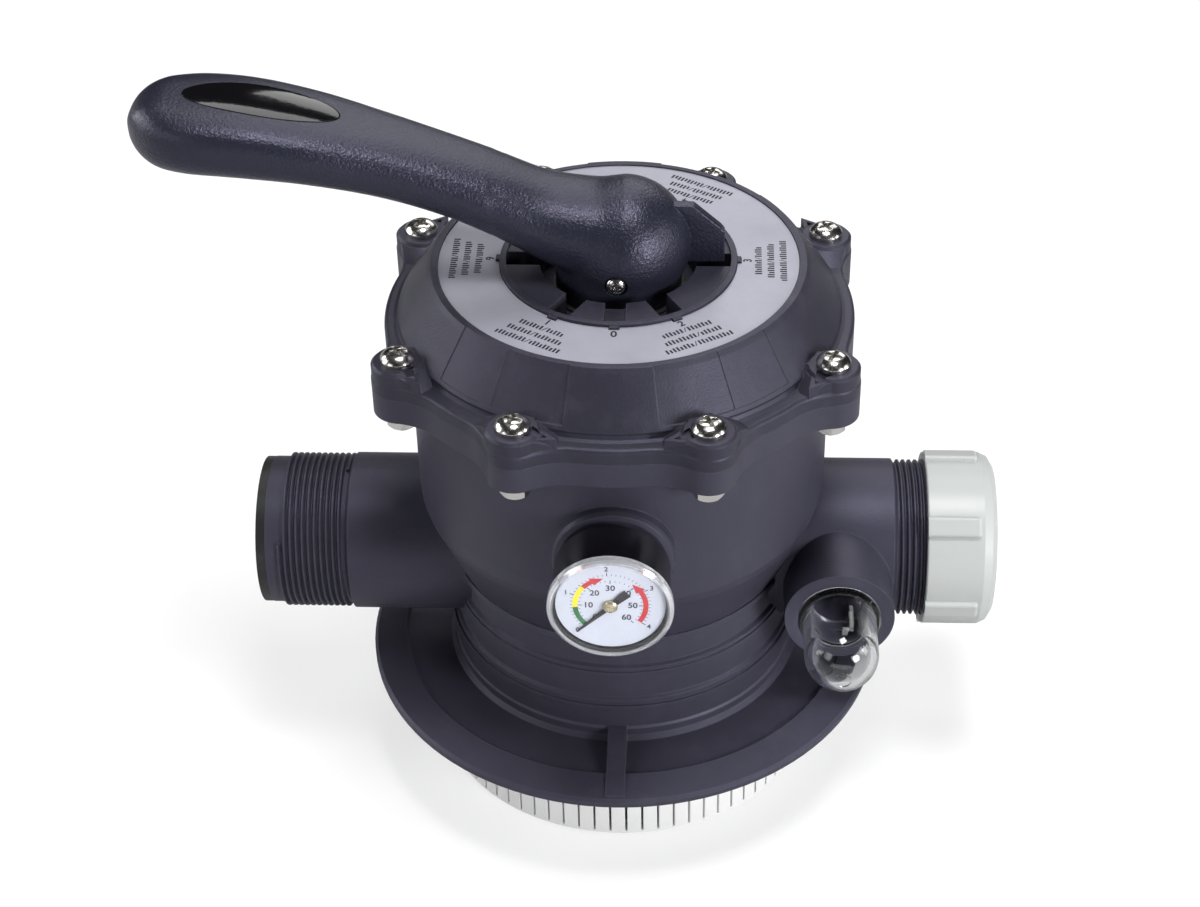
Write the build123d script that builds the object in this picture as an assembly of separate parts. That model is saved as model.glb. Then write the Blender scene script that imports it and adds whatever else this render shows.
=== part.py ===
from build123d import *
import math
import os

# Top-mounted multiport selector valve for a filter tank, in millimetres.
# Origin: valve axis at the underside of the tank flange.  +Z is up, -Y is the gauge side,
# the two visible ports lie along -X and +X and the third port points along +Y.

os.makedirs("parts", exist_ok=True)

# ---- driving dimensions -------------------------------------------------------------------
# tank flange and lower body
FLANGE_R = 99.1
FLANGE_RIM = 2.8
FLANGE_STEP_R = 86.6
BODY_FOOT_R = 66.2
BODY_WAIST_R = 63.6
BODY_R = 76.3
WALL = 6.0
SHOULDER_LOW = 50.0
SHOULDER_HIGH = 80.0
LEDGES = (39.0, 24.0)
DECK_BOTTOM = 90.0
DECK_TOP = 98.0
CHAMBER_R = 70.0
PART_PLANE = 150.0
NECK_R = 66.0
NECK_BORE = 61.0
NECK_LENGTH = 14.0
TANK_GROOVE_R = 73.3

# riser pipe socket
SOCKET_R = 25.15
SOCKET_TOP = 60.0
RISER_WALL = 5.0
RISER_PASSAGE = 20.0

# lobed flanges and their fasteners
FLANGE_X = 84.6
FLANGE_Y = 85.6
LOBE_R = 9.8
LOBE_BLEND = 24.0
SCREW_PCR = 86.0
SCREW_ANGLES = (28.8, 67.6, 112.4, 151.2, 208.8, 247.6, 292.4, 331.2)
BODY_FLANGE = 9.7
COVER_FLANGE = 5.6
BODY_LOBE = 11.5
COVER_LOBE = 10.6
RAMP_R = 15.5
SCREW_R = 3.0
SCREW_HOLE_R = 3.2
HEAD_R = 6.1
HEAD_H = 3.7
NUT_FLATS = 10.0
NUT_H = 4.8

# ports: two inch pipe thread
PORT_Z = 49.7
PORT_R = 30.2
PORT_BORE = 24.0
DRAIN_BORE = 23.0
PORT_END = 138.0
THREAD_CREST = 29.8
THREAD_ROOT = 28.33
THREAD_PITCH = 2.309
THREAD_LEAD = 9.0
THREAD_RUN = 25.0
LIP_R = 28.2
GASKET_W = 3.4

# cover
CONE_BASE_R = 79.4
CONE_BASE = 158.3
CONE_TOP_R = 68.2
CONE_TOP = 174.6
COVER_TOP = 176.3
COVER_WALL = 4.5
LABEL_R = 64.1
LABEL_BORE = 42.4
LABEL_Z = 175.5
LABEL_T = 0.3
PANEL_STEP = 0.6
PANEL_EDGES = (40.5, 58.0, 78.0)
HUB_RING_R = 42.2
HUB_RING_TOP = 176.9
RECESS_R = 40.0
RECESS_FLOOR = 165.0
BLOCK_BORE = 28.0
BLOCK_TOP = 176.0
SLOT_W = 8.4
POSITIONS = 6
POSITION_ANGLES = [i * 360 / POSITIONS for i in range(POSITIONS)]
TAB_ANGLES = POSITION_ANGLES + [-90]
TAB_W = 3.4
TAB_OUT = 1.3
COVER_HUB_R = 22.0
COVER_HUB_BOTTOM = 150.5

# rotor, spring and handle
SHAFT_R = 13.0
SHAFT_TOP = 185.0
RUN_GAP = 0.05
ROTOR_R = 66.0
ROTOR_BOTTOM = 100.0
ROTOR_TOP = 110.0
SPRING_SEAT = 116.0
SPRING_R = 17.6
SPRING_WIRE = 1.6
SPRING_TURNS = 5
SHAFT_SEALS = (154.6, 160.2)
WASHER_T = 1.0
WASHER_R = 24.0
PIVOT_Z = 179.5
PIVOT_R = 2.5
HUB_R = 24.0
HUB_X = 2.0
HUB_Z = 183.5
SKIRT_R = 22.6
HEEL_X = 18.0
PRESS_GAP = 0.02
FIN_OUT = 37.6
FIN_T = 4.0
GRIP_STATIONS = (
    # x, underside z, top z, half width
    (-168.2, 224.0, 230.5, 5.0),
    (-166.0, 220.4, 236.0, 12.0),
    (-160.0, 218.2, 240.6, 18.2),
    (-146.0, 217.6, 242.4, 22.0),
    (-129.0, 216.4, 240.8, 23.4),
    (-104.0, 213.0, 235.6, 22.0),
    (-80.0, 206.8, 228.7, 19.3),
    (-58.0, 198.5, 221.3, 18.2),
    (-40.0, 189.0, 214.8, 18.2),
    (-24.0, 179.2, 208.6, 18.8),
    (-8.0, 172.0, 206.4, 20.2),
)
GRIP_CORNER = 0.42
BADGE_X = -121.5
BADGE_Z = 238.8
BADGE_TILT = 10.6
BADGE_LENGTH = 53.0
BADGE_WIDTH = 21.0
BADGE_DEPTH = 1.6
BADGE_CREST_R = 120.2

# pressure gauge
GAUGE_Z = 103.0
GAUGE_BOSS_R = 21.6
GAUGE_FACE = 81.0
GAUGE_CASE_R = 20.4
GAUGE_CASE_BACK = 83.4
GAUGE_CASE_FRONT = 103.6
GAUGE_LENS_R = 21.7
GAUGE_LENS_FRONT = 106.0
GAUGE_LENS_BACK = 102.4
GAUGE_WINDOW = 1.3
GAUGE_DIAL_Y = 101.8
GAUGE_DIAL_T = 0.5
GAUGE_DIAL_R = 18.8
POINTER_LIFT = 0.9
STEM_R = 6.5
PINION_R = 1.5
PINION_REACH = 1.9
SECTOR_PIVOT = 15.0
MOVEMENT_LIFT = 7.0

# sight glass
SIGHT_X = 82.0
SIGHT_BOSS_R = 20.4
SIGHT_FACE = 47.7
SIGHT_RIM_R = 15.4
SIGHT_R = 13.6
SIGHT_BORE = 12.4
SIGHT_WALL = 2.0
SIGHT_LENGTH = 33.4

# drain cap
CAP_START = 114.8
CAP_END = 141.0
CAP_R = 33.0
CAP_RIB_R = 34.9
CAP_BORE = 30.0
CAP_RIBS = 6
CAP_RIB_W = 7.6
CAP_RIB_TURN = 44
CAP_RIB_END = 134.6

# strainer
STRAINER_R = 74.6
STRAINER_WALL = 2.6
STRAINER_BOTTOM = -39.2
STRAINER_SHOULDER = -8.0
STRAINER_SLOTS = 76
SLOT_GAP = 0.9


# ---- helpers ------------------------------------------------------------------------------
def lathe(*points):
    """Solid of revolution about Z from (radius, height) corners."""
    outline = Polyline(*[(r, 0, z) for r, z in points], close=True)
    return revolve(make_face(outline), Axis.Z)


def tube(r_out, r_in, low, high):
    """Ring or pipe about Z between two heights."""
    return lathe((r_in, low), (r_out, low), (r_out, high), (r_in, high))


def rod(radius, low, high):
    """Plain cylinder about Z between two heights."""
    return Pos(0, 0, low) * Cylinder(radius, high - low, align=(Align.CENTER, Align.CENTER, Align.MIN))


def bar(x0, x1, y0, y1, z0, z1):
    """Block from its low and high corners."""
    return Pos(x0, y0, z0) * Box(x1 - x0, y1 - y0, z1 - z0, align=(Align.MIN, Align.MIN, Align.MIN))


def ring_seal(radius, section, height):
    """O-ring about Z."""
    return Pos(0, 0, height) * Torus(radius, section / 2)


def around(angles, radius, piece):
    """Copies of a piece, turned to each angle on a circle about Z."""
    return [Rot(0, 0, a) * Pos(radius, 0, 0) * piece for a in angles]


def union(pieces):
    """One solid from overlapping pieces."""
    first, *rest = pieces
    return first.fuse(*rest) if rest else first


def save(name, shape):
    """Write a node: one solid, or a group of separate solids."""
    solids = shape.solids() if not isinstance(shape, list) else [s for p in shape for s in p.solids()]
    out = solids[0] if len(solids) == 1 else Compound(solids)
    export_step(out, f"parts/{name}.step")
    print(name, len(solids), round(sum(s.volume for s in solids)))


TO_PLUS_X = Pos(0, 0, PORT_Z) * Rot(0, 90, 0)
TO_MINUS_X = Pos(0, 0, PORT_Z) * Rot(0, -90, 0)
TO_PLUS_Y = Pos(0, 0, PORT_Z) * Rot(-90, 0, 0)
TO_GAUGE = Pos(0, 0, GAUGE_Z) * Rot(90, 0, 0)
TO_SIGHT = Pos(SIGHT_X, 0, PORT_Z) * Rot(90, 0, 0)


# ---- shared shapes ------------------------------------------------------------------------
def lobed_outline():
    """Flange outline: an oval with a round lobe at each screw and soft hollows between."""
    shape = Ellipse(FLANGE_X, FLANGE_Y)
    for lobe in around(SCREW_ANGLES, SCREW_PCR, Circle(LOBE_R)):
        shape += lobe
    return fillet(shape.vertices(), LOBE_BLEND)


def helical_thread(start, run):
    """Male pipe thread ridge about Z from a start height, to fuse on a root cylinder."""
    depth = THREAD_CREST - THREAD_ROOT
    path = Helix(pitch=THREAD_PITCH, height=run, radius=THREAD_ROOT)
    origin = path @ 0
    section = Plane(origin=origin, x_dir=Vector(origin.X, origin.Y, 0).normalized(), z_dir=path % 0)
    half_root = THREAD_PITCH * 0.46
    half_crest = THREAD_PITCH * 0.12
    sink = 0.3
    ridge = Polyline(
        (-sink, -half_root), (depth, -half_crest), (depth, half_crest), (-sink, half_root), close=True
    )
    return Pos(0, 0, start) * sweep(make_face(section * ridge), path=path, is_frenet=True)


def port_pipe(inner_start):
    """Threaded stub about Z: smooth pipe, thread, then a plain lip that carries the gasket."""
    thread_end = PORT_END - THREAD_LEAD
    thread_start = thread_end - THREAD_RUN
    body = lathe(
        (0, inner_start),
        (PORT_R, inner_start),
        (PORT_R, thread_start - 1.2),
        (THREAD_ROOT, thread_start),
        (THREAD_ROOT, PORT_END - GASKET_W),
        (0, PORT_END - GASKET_W),
    )
    return body.fuse(helical_thread(thread_start + 0.4, THREAD_RUN))


# ---- valve body ---------------------------------------------------------------------------
def body_shell():
    """Outside of the moulding below the parting plane."""
    step = 1.2
    low, high = LEDGES[1], LEDGES[0]
    return lathe(
        (0, 0),
        (FLANGE_R - 0.8, 0),
        (FLANGE_R, 0.8),
        (FLANGE_R, FLANGE_RIM),
        (FLANGE_R - 1.2, FLANGE_RIM + 1.0),
        (FLANGE_STEP_R, 5.9),
        (FLANGE_STEP_R - 1.2, 4.8),
        (BODY_FOOT_R + 2.4, 4.8),
        (BODY_FOOT_R + 0.6, 6.4),
        (BODY_FOOT_R + 0.6, 9.4),
        (BODY_FOOT_R, 10.4),
        (BODY_FOOT_R, low - step / 2),
        (BODY_FOOT_R - step, low + step / 4),
        (BODY_FOOT_R - step, high - step / 2),
        (BODY_WAIST_R, high + step / 4),
        (BODY_WAIST_R, SHOULDER_LOW),
        (BODY_R - 1.6, SHOULDER_HIGH - 4),
        (BODY_R - 0.4, SHOULDER_HIGH),
        (BODY_R, SHOULDER_HIGH + 6),
        (BODY_R, PART_PLANE),
        (0, PART_PLANE),
    )


def body_bands():
    """Shallow raised bands that ring the lower body below the ledges and under the shoulder."""
    bands = [tube(BODY_FOOT_R + 0.9, BODY_FOOT_R - 4, 19.8, 21.2)]
    bands.append(tube(BODY_WAIST_R + 2.0, BODY_WAIST_R - 4, LEDGES[0] - 3.4, LEDGES[0] - 2.2))
    bands.append(tube(BODY_WAIST_R + 2.2, BODY_WAIST_R - 4, SHOULDER_LOW + 0.8, SHOULDER_LOW + 3.2))
    return bands


def body_cavities():
    """Everything hollow inside the body: upper chamber, port chambers, riser socket."""
    upper = rod(CHAMBER_R, DECK_TOP, PART_PLANE + 1)
    riser_r = SOCKET_R + RISER_WALL
    lower = lathe(
        (riser_r, 12.0),
        (BODY_WAIST_R - WALL, 12.0),
        (BODY_WAIST_R - WALL, SHOULDER_LOW + 2),
        (BODY_R - WALL, SHOULDER_HIGH + 4),
        (BODY_R - WALL, DECK_BOTTOM),
        (riser_r, DECK_BOTTOM),
    )
    web = 5.0
    for a in (45, 135, 225, 315):
        lower -= Rot(0, 0, a) * bar(0, BODY_R, -web / 2, web / 2, 0, DECK_BOTTOM)
    socket = rod(SOCKET_R, -NECK_LENGTH - 1, SOCKET_TOP)
    passage = rod(RISER_PASSAGE, SOCKET_TOP - 1, DECK_TOP + 1)
    neck = tube(NECK_BORE, riser_r, -NECK_LENGTH - 1, 2.0)
    tank_window = tube(NECK_BORE - 4, riser_r + 1, -1, 13) & (Rot(0, 0, -90) * wedge(0, 34, 100, -1, 13))
    cuts = [upper, socket, passage, neck, tank_window] + lower.solids()
    cuts += deck_windows()
    return cuts


def wedge(inner, half_angle, outer, low, high):
    """Sector about Z, centred on +X."""
    reach = outer / math.cos(math.radians(half_angle))
    corner = (reach * math.cos(math.radians(half_angle)), reach * math.sin(math.radians(half_angle)))
    face = make_face(Polyline((inner, 0), corner, (corner[0], -corner[1]), close=True))
    return Pos(0, 0, low) * extrude(face, high - low)


def deck_windows():
    """Openings through the distributor deck, one over each chamber."""
    low, high = DECK_BOTTOM - 1, DECK_TOP + 1
    window = tube(60.0, 34.0, low, high) & wedge(0, 32, 100, low, high)
    return around((0, 90, 180, 270), 0, window)


def valve_body():
    outline = lobed_outline()
    shell = body_shell()
    flange = Pos(0, 0, PART_PLANE - BODY_FLANGE) * extrude(outline, BODY_FLANGE)
    lobe = lathe(
        (0, PART_PLANE - BODY_LOBE),
        (LOBE_R - 2.2, PART_PLANE - BODY_LOBE),
        (LOBE_R, PART_PLANE - BODY_LOBE + 2.2),
        (LOBE_R, PART_PLANE - 1),
        (0, PART_PLANE - 1),
    )
    neck = tube(NECK_R, NECK_BORE, -NECK_LENGTH, 1)
    riser = tube(SOCKET_R + RISER_WALL, SOCKET_R, -NECK_LENGTH, 5)
    ports = [place * port_pipe(40.0) for place in (TO_PLUS_X, TO_MINUS_X, TO_PLUS_Y)]
    boss = TO_GAUGE * lathe(
        (0, 50),
        (GAUGE_BOSS_R, 50),
        (GAUGE_BOSS_R, GAUGE_FACE - 2.4),
        (GAUGE_BOSS_R - 0.7, GAUGE_FACE - 0.7),
        (GAUGE_BOSS_R - 2.4, GAUGE_FACE),
        (0, GAUGE_FACE),
    )
    sight_boss = TO_SIGHT * rod(SIGHT_BOSS_R, 0, SIGHT_FACE)
    rib_run = FLANGE_R - 2.4
    rib_side = Polyline(
        (-rib_run, 3.0), (-BODY_FOOT_R + 3, 3.0), (-BODY_FOOT_R + 3, 10.6), (-BODY_FOOT_R - 1, 10.6),
        (-rib_run, 4.4), close=True,
    )
    rib = extrude(make_face(Plane.YZ * rib_side), 3.5, both=True)
    rib = fillet(rib.edges().filter_by(Axis.Z).sort_by(Axis.Y)[-2:], 1.0)
    solid = union(
        [shell, flange, neck, riser, boss, sight_boss, rib]
        + around(SCREW_ANGLES, SCREW_PCR, lobe)
        + body_bands()
        + ports
    )
    cuts = body_cavities()
    cuts += around(SCREW_ANGLES, SCREW_PCR, rod(SCREW_HOLE_R, 130, PART_PLANE + 1))
    bore_start = 52.0
    cuts += [place * rod(PORT_BORE, bore_start, PORT_END + 1) for place in (TO_MINUS_X, TO_PLUS_Y)]
    cuts.append(TO_PLUS_X * rod(DRAIN_BORE, bore_start, PORT_END + 1))
    cuts.append(TO_GAUGE * rod(STEM_R, 60, GAUGE_FACE + 1))
    cuts.append(TO_SIGHT * rod(SIGHT_BORE, 5, SIGHT_FACE + 1))
    cuts.append(tube(79.6, 76.2, PART_PLANE - 2.9, PART_PLANE + 1))
    cuts.append(tube(TANK_GROOVE_R + 2.1, TANK_GROOVE_R - 2.1, -1, 3.2))
    cuts.append(tube(TANK_GROOVE_R - 2.0, NECK_R, -1, 0.5))
    cuts.append(tube(SOCKET_R + 3.0, SOCKET_R - 1, -8.0, -4.6))
    return solid.cut(*cuts)


# ---- cover --------------------------------------------------------------------------------
def dome(offset):
    """Outside of the cover above its flange, pulled in by an offset."""
    return lathe(
        (0, PART_PLANE + 2),
        (CONE_BASE_R - offset, PART_PLANE + 2),
        (CONE_BASE_R - offset, CONE_BASE),
        (CONE_TOP_R - offset, CONE_TOP),
        (CONE_TOP_R - 1.4 - offset, COVER_TOP),
        (0, COVER_TOP),
    )


def screw_pad(side):
    """Raised pad on the cover at one screw: a gusset towards the rim, with a shallow pocket in it."""
    base = PART_PLANE + COVER_FLANGE - 1
    top = PART_PLANE + COVER_LOBE
    pad = lathe((0, base), (LOBE_R - 0.3, base), (LOBE_R - 0.3, top - 1.0), (LOBE_R - 1.3, top), (0, top))
    gusset_face = make_face(Polyline((-7.4, 0), (6.2, side * 2.0), (-1.5, side * 15.5), close=True))
    gusset = Pos(0, 0, base) * extrude(gusset_face, top - base - 1.0)
    pocket_face = make_face(
        Polyline((-3.6, side * 5.6), (2.6, side * 5.6), (-1.0, side * 12.2), close=True)
    )
    pocket = Pos(0, 0, top - 2.2) * extrude(pocket_face, 4)
    neck = bar(-9.0, 0, -4.5, 4.5, base, top)
    return pad.fuse(gusset, neck).cut(pocket)


def lobe_ramps():
    """Slopes that carry the rim of the cover up to the height of each screw pad."""
    level = PART_PLANE + COVER_FLANGE
    top = PART_PLANE + COVER_LOBE
    ramp = lathe((0, level - 1), (RAMP_R, level - 1), (RAMP_R, level), (LOBE_R, top - 1.2), (0, top - 1.2))
    inside = Pos(0, 0, PART_PLANE) * extrude(offset(lobed_outline(), -0.6), COVER_LOBE)
    return [copy & inside for copy in around(SCREW_ANGLES, SCREW_PCR, ramp)]


def top_cover():
    flange = Pos(0, 0, PART_PLANE) * extrude(lobed_outline(), COVER_FLANGE)
    flange = fillet(flange.faces().sort_by(Axis.Z)[-1].outer_wire().edges(), 1.6)
    ledge = PART_PLANE + COVER_FLANGE
    cove = lathe(
        (CONE_BASE_R - 2, ledge - 1), (CONE_BASE_R + 1.9, ledge - 1), (CONE_BASE_R + 1.9, ledge),
        (CONE_BASE_R + 0.6, ledge + 0.5), (CONE_BASE_R, ledge + 1.8), (CONE_BASE_R - 2, ledge + 1.8),
    )
    pads = lobe_ramps() + [cove]
    for a in SCREW_ANGLES:
        side = 1 if (a % 180) < 90 else -1
        pads.append(Rot(0, 0, a) * Pos(SCREW_PCR, 0, 0) * screw_pad(side))
    skin = dome(0)
    reliefs = []
    first, second, third = PANEL_EDGES
    for start, end, depth in ((first, second, PANEL_STEP / 2), (second, third, PANEL_STEP)):
        peel = dome(0) - dome(depth)
        panel = peel & wedge(0, (end - start) / 2, 120, CONE_BASE + 1.2, COVER_TOP + 1)
        mid = (start + end) / 2
        reliefs += around((mid, 180 - mid, 180 + mid, -mid), 0, panel)
    ring = tube(HUB_RING_R, RECESS_R - 2, 170, HUB_RING_TOP)
    tab = bar(HUB_RING_R - 1, HUB_RING_R + TAB_OUT, -TAB_W / 2, TAB_W / 2, 174, HUB_RING_TOP - 0.4)
    tabs = around(TAB_ANGLES, 0, tab)
    hub = rod(COVER_HUB_R, COVER_HUB_BOTTOM, RECESS_FLOOR)
    solid = union([flange, skin, ring, hub] + pads + tabs)

    inside = lathe(
        (COVER_HUB_R, PART_PLANE - 1),
        (CHAMBER_R + 1.5, PART_PLANE - 1),
        (CHAMBER_R + 1.5, PART_PLANE + 6),
        (CONE_TOP_R - COVER_WALL, CONE_TOP - 7),
        (46.0, CONE_TOP - 4),
        (46.0, RECESS_FLOOR - 5),
        (COVER_HUB_R, RECESS_FLOOR - 5),
    )
    under_hub = rod(COVER_HUB_R + 0.1, PART_PLANE - 1, COVER_HUB_BOTTOM)
    label_seat = tube(LABEL_R + 0.15, HUB_RING_R, LABEL_Z, COVER_TOP + 2).cut(*tabs)
    recess = rod(RECESS_R, RECESS_FLOOR, HUB_RING_TOP + 1)
    blocks = tube(RECESS_R, BLOCK_BORE, RECESS_FLOOR - 1, BLOCK_TOP)
    slot = bar(10, 60, -SLOT_W / 2, SLOT_W / 2, RECESS_FLOOR - 2, 190)
    slots = around(POSITION_ANGLES, 0, slot)
    notch = Rot(0, 0, -90) * bar(20, 60, -3.6, 3.6, BLOCK_TOP - 2.4, 190)
    blocks = blocks.cut(*slots, notch)
    recess = recess.cut(*blocks.solids())
    bore = rod(SHAFT_R + RUN_GAP, PART_PLANE - 2, 190)
    holes = around(SCREW_ANGLES, SCREW_PCR, rod(SCREW_HOLE_R, PART_PLANE - 1, 180))
    cuts = [inside, under_hub, bore] + label_seat.solids() + recess.solids() + holes
    cuts += [s for r in reliefs for s in r.solids()]
    return solid.cut(*cuts)


def position_label():
    ring = tube(LABEL_R, LABEL_BORE, LABEL_Z, LABEL_Z + LABEL_T)
    gap = 0.25
    cut = bar(
        LABEL_BORE - 2, HUB_RING_R + TAB_OUT + gap, -TAB_W / 2 - gap, TAB_W / 2 + gap, LABEL_Z - 1, COVER_TOP
    )
    return ring.cut(*around(TAB_ANGLES, 0, cut))


# ---- fasteners and seals ------------------------------------------------------------------
def cross_recess(size, depth):
    """Cruciform driver recess, cut downward from z = 0."""
    arm = size / 4
    a = bar(-size / 2, size / 2, -arm / 2, arm / 2, -depth, 5)
    b = bar(-arm / 2, arm / 2, -size / 2, size / 2, -depth, 5)
    return a.fuse(b)


def domed_head(radius, height):
    """Pan head about Z that sits on z = 0."""
    rim = height * 0.38
    arc = ThreePointArc((radius, 0, rim), (radius * 0.76, 0, height * 0.83), (0, 0, height))
    side = Polyline((0, 0, height), (0, 0, 0), (radius, 0, 0), (radius, 0, rim))
    return revolve(make_face([arc, side]), Axis.Z)


def cover_screw():
    seat = PART_PLANE + COVER_LOBE
    head = domed_head(HEAD_R, HEAD_H).cut(Pos(0, 0, HEAD_H) * cross_recess(6.4, 1.9))
    end = PART_PLANE - BODY_LOBE - NUT_H - 1.6
    return (Pos(0, 0, seat) * head).fuse(rod(SCREW_R, end, seat + 0.5))


def cover_nut():
    low = PART_PLANE - BODY_LOBE - NUT_H
    hexagon = extrude(RegularPolygon(NUT_FLATS / 2, 6, major_radius=False), NUT_H)
    crown = lathe((0, 0), (NUT_FLATS * 0.5, 0), (NUT_FLATS * 0.6, 0.9), (NUT_FLATS * 0.6, NUT_H), (0, NUT_H))
    nut = (hexagon & crown) - rod(SCREW_R + 0.02, -1, NUT_H + 1)
    return Pos(0, 0, low) * nut


def port_gasket(place):
    return place * tube(LIP_R, PORT_BORE + 0.4, PORT_END - GASKET_W, PORT_END)


def spider_gasket():
    """Flat rubber spider on the deck: an outer ring, an inner ring and a spoke over each web."""
    thick = ROTOR_BOTTOM - DECK_TOP
    pieces = [tube(64.5, 60.6, 0, thick), tube(33.4, 20.6, 0, thick)]
    for a in (45, 135, 225, 315):
        pieces.append(Rot(0, 0, a) * bar(32.5, 61.5, -2.4, 2.4, 0, thick))
    return Pos(0, 0, DECK_TOP) * union(pieces)


# ---- rotor --------------------------------------------------------------------------------
def rotor():
    """Diverter disc and its shaft, with one through window and one return pocket."""
    disc = lathe(
        (0, ROTOR_BOTTOM + PRESS_GAP),
        (ROTOR_R, ROTOR_BOTTOM + PRESS_GAP),
        (ROTOR_R, ROTOR_TOP - 3),
        (ROTOR_R - 2, ROTOR_TOP),
        (30, ROTOR_TOP),
        (26, SPRING_SEAT),
        (0, SPRING_SEAT),
    )
    shaft = lathe(
        (0, ROTOR_TOP),
        (SHAFT_R, ROTOR_TOP),
        (SHAFT_R, SHAFT_TOP - 2),
        (SHAFT_R - 2, SHAFT_TOP),
        (0, SHAFT_TOP),
    )
    window = tube(59, 35, ROTOR_BOTTOM - 1, ROTOR_TOP + 9) & (
        Rot(0, 0, 90) * wedge(0, 30, 100, ROTOR_BOTTOM - 1, ROTOR_TOP + 9)
    )
    pocket = tube(59, 8, ROTOR_BOTTOM - 1, ROTOR_BOTTOM + 6) & (
        Rot(0, 0, -90) * wedge(0, 30, 100, ROTOR_BOTTOM - 1, ROTOR_BOTTOM + 6)
    )
    grooves = [tube(SHAFT_R + 1, SHAFT_R - 2.2, z - 1.5, z + 1.5) for z in SHAFT_SEALS]
    pin_hole = Pos(0, 0, PIVOT_Z) * Rot(90, 0, 0) * rod(PIVOT_R + RUN_GAP, -30, 30)
    return disc.fuse(shaft).cut(window, pocket, pin_hole, *grooves)


def shaft_seals():
    section = 2.1
    return [ring_seal(SHAFT_R + 0.02 - section / 2, section, z) for z in SHAFT_SEALS]


def rotor_spring():
    """Compression spring between the rotor's seat and the washer under the cover."""
    low = SPRING_SEAT + SPRING_WIRE + 0.05
    high = COVER_HUB_BOTTOM - WASHER_T - SPRING_WIRE - 0.05
    path = Helix(pitch=(high - low) / SPRING_TURNS, height=high - low, radius=SPRING_R)
    wire = Plane(origin=path @ 0, z_dir=path % 0) * Circle(SPRING_WIRE)
    return Pos(0, 0, low) * sweep(wire, path=path, is_frenet=True)


# ---- handle -------------------------------------------------------------------------------
def handle():
    sections = []
    for x, low, high, half in GRIP_STATIONS:
        thick = high - low
        plane = Plane(origin=(x, 0, (low + high) / 2), x_dir=(0, 1, 0), z_dir=(1, 0, 0))
        corner = GRIP_CORNER * min(thick, 2 * half)
        sections.append(plane * RectangleRounded(2 * half, thick, corner))
    arm = loft(sections)
    ball = Pos(HUB_X, 0, HUB_Z) * Sphere(HUB_R)
    heel = RECESS_FLOOR + WASHER_T + PRESS_GAP
    skirt = lathe((0, heel), (SKIRT_R - 2, heel), (SKIRT_R, heel + 2), (SKIRT_R, HUB_Z), (0, HUB_Z))
    heel_run = 12.0
    slope_side = Polyline(
        (-HEEL_X, heel), (-HEEL_X - heel_run, heel), (-HEEL_X - heel_run, heel + 0.3 * heel_run), close=True
    )
    slope = extrude(make_face(Plane.XZ * slope_side), 30, both=True)
    fin_side = Plane.XZ * Polyline(
        (10, BLOCK_TOP + 0.35),
        (FIN_OUT, BLOCK_TOP + 0.35),
        (FIN_OUT, 188.6),
        (FIN_OUT - 1.2, 190.2),
        (26.6, 199.4),
        (10, 200.0),
        close=True,
    )
    fin = extrude(make_face(fin_side), FIN_T / 2, both=True)
    solid = union([arm, ball, skirt, fin])
    below = rod(40, 120, heel)
    pocket_x = SHAFT_R + 3.8
    pocket_y = SHAFT_R + 0.25
    pocket = bar(-pocket_x, pocket_x, -pocket_y, pocket_y, 150, 190)
    pin_hole = Pos(0, 0, PIVOT_Z) * Rot(90, 0, 0) * rod(PIVOT_R, -19, 30)
    counterbore = Pos(0, 0, PIVOT_Z) * Rot(90, 0, 0) * rod(4.2, 21.4, 40)
    return solid.cut(below, slope, pocket, pin_hole, counterbore, badge_solid(0.0))


def badge_solid(gap):
    """Oval badge bedded in the top of the grip, following its slope."""
    body = extrude(Ellipse(BADGE_LENGTH / 2 - gap, BADGE_WIDTH / 2 - gap), BADGE_DEPTH + 3)
    badge = Pos(0, 0, -BADGE_DEPTH) * body
    if gap:
        badge = badge & Pos(0, 0, 1.8 - BADGE_CREST_R) * Sphere(BADGE_CREST_R)
    return Pos(BADGE_X, 0, BADGE_Z) * Rot(0, BADGE_TILT, 0) * badge


def pivot_screw():
    head = domed_head(3.6, 2.4).cut(Pos(0, 0, 2.4) * cross_recess(3.6, 1.2))
    shank = rod(PIVOT_R, -18.8, 21.9)
    return Pos(0, 0, PIVOT_Z) * Rot(90, 0, 0) * (Pos(0, 0, 21.4) * head).fuse(shank)


# ---- pressure gauge -----------------------------------------------------------------------
def gauge_case():
    cup = lathe(
        (STEM_R - 1.0, GAUGE_CASE_BACK),
        (GAUGE_CASE_R - 1.5, GAUGE_CASE_BACK),
        (GAUGE_CASE_R, GAUGE_CASE_BACK + 1.5),
        (GAUGE_CASE_R, GAUGE_CASE_FRONT),
        (GAUGE_DIAL_R + 0.6, GAUGE_CASE_FRONT),
        (GAUGE_DIAL_R + 0.6, GAUGE_DIAL_Y),
        (GAUGE_DIAL_R - 0.6, GAUGE_DIAL_Y),
        (GAUGE_DIAL_R - 0.6, GAUGE_CASE_BACK + 2),
        (STEM_R - 1.0, GAUGE_CASE_BACK + 2),
    )
    return TO_GAUGE * cup


def gauge_lens():
    """Clear cap over the case: a flat window with a rounded edge and a short skirt."""
    inside = GAUGE_LENS_FRONT - GAUGE_WINDOW
    cap = lathe(
        (0, inside),
        (GAUGE_CASE_R + 0.05, inside),
        (GAUGE_CASE_R + 0.05, GAUGE_LENS_BACK),
        (GAUGE_LENS_R, GAUGE_LENS_BACK),
        (GAUGE_LENS_R, GAUGE_LENS_FRONT - 1.3),
        (GAUGE_LENS_R - 1.3, GAUGE_LENS_FRONT),
        (0, GAUGE_LENS_FRONT),
    )
    return TO_GAUGE * cap


def gauge_dial():
    return TO_GAUGE * tube(GAUGE_DIAL_R, 1.6, GAUGE_DIAL_Y, GAUGE_DIAL_Y + GAUGE_DIAL_T)


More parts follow.
